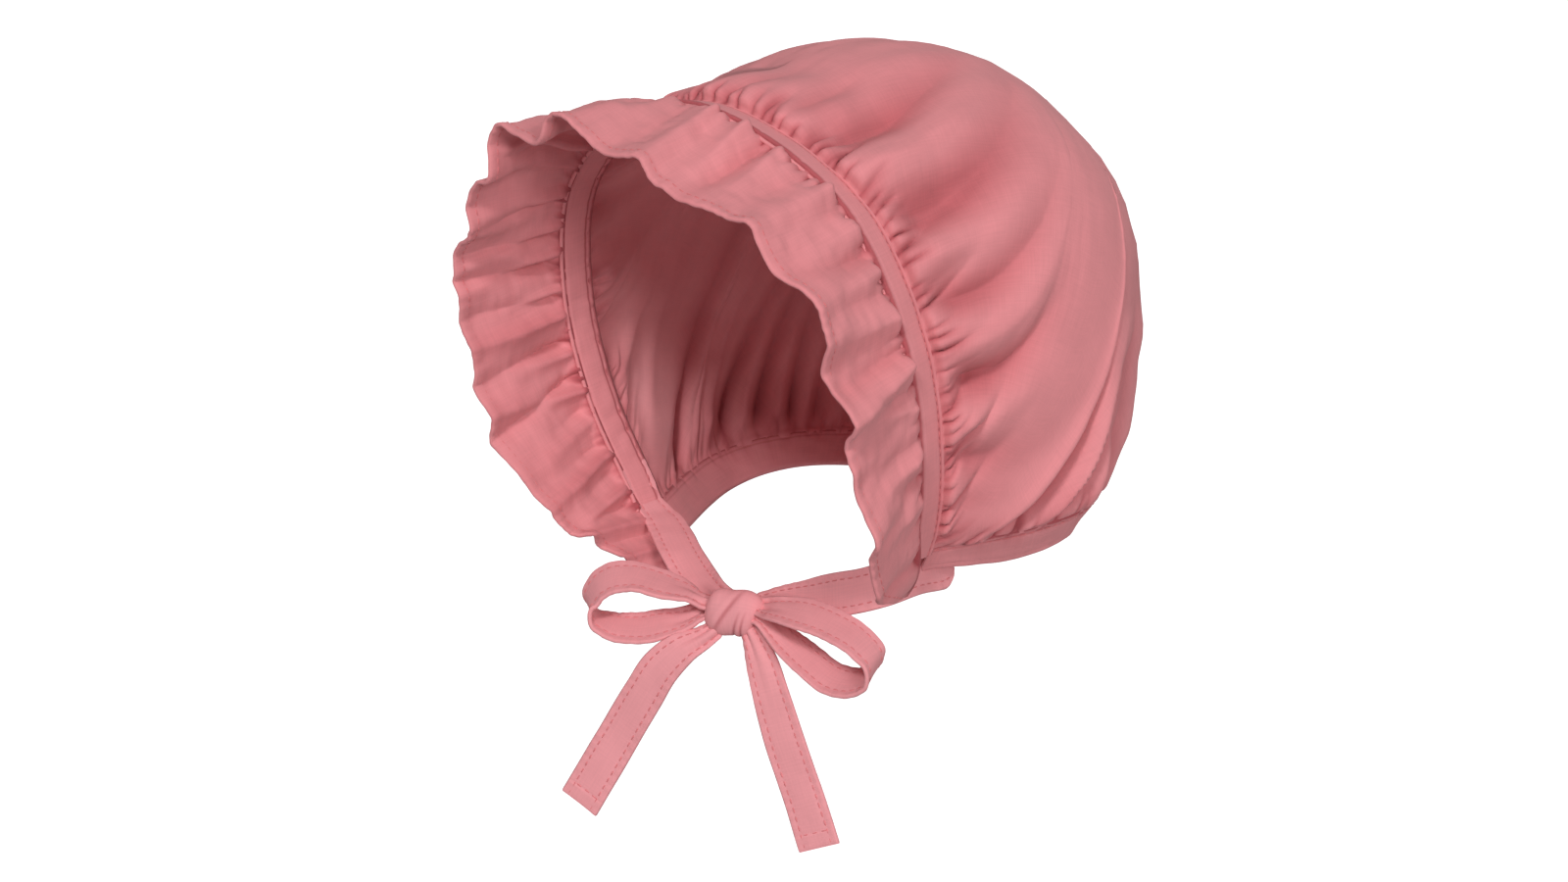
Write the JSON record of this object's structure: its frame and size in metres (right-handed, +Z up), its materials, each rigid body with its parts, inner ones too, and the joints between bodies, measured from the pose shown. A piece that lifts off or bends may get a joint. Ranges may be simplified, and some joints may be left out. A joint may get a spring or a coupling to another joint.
{
  "type": "baby bonnet",
  "caption": "Gathered cloth bonnet with a face band, a hemmed ruffle round the face, a neck band and tapes tied in a bow under the chin.",
  "frame": {"origin": "the highest place inside the crown, at its middle, where it rests on the head", "axes": "+Z up, -Y the way the face looks, +X to the wearer's left"},
  "size_m": [0.1731, 0.205, 0.2451],
  "materials": {
    "cloth_pink": "matt plain-weave cotton, dusty rose",
    "tie_pink": "matt plain-weave cotton tape, dusty rose, stitched along both edges"
  },
  "bodies": {
    "root": {"crown": "cloth_pink", "face_band": "cloth_pink", "ruffle": "cloth_pink", "neck_band": "cloth_pink", "tie_left": "tie_pink", "tie_right": "tie_pink", "bow_knot": "tie_pink", "bow_loop_left": "tie_pink", "bow_loop_right": "tie_pink", "bow_tail_left": "tie_pink", "bow_tail_right": "tie_pink"}
  },
  "joints": []
}
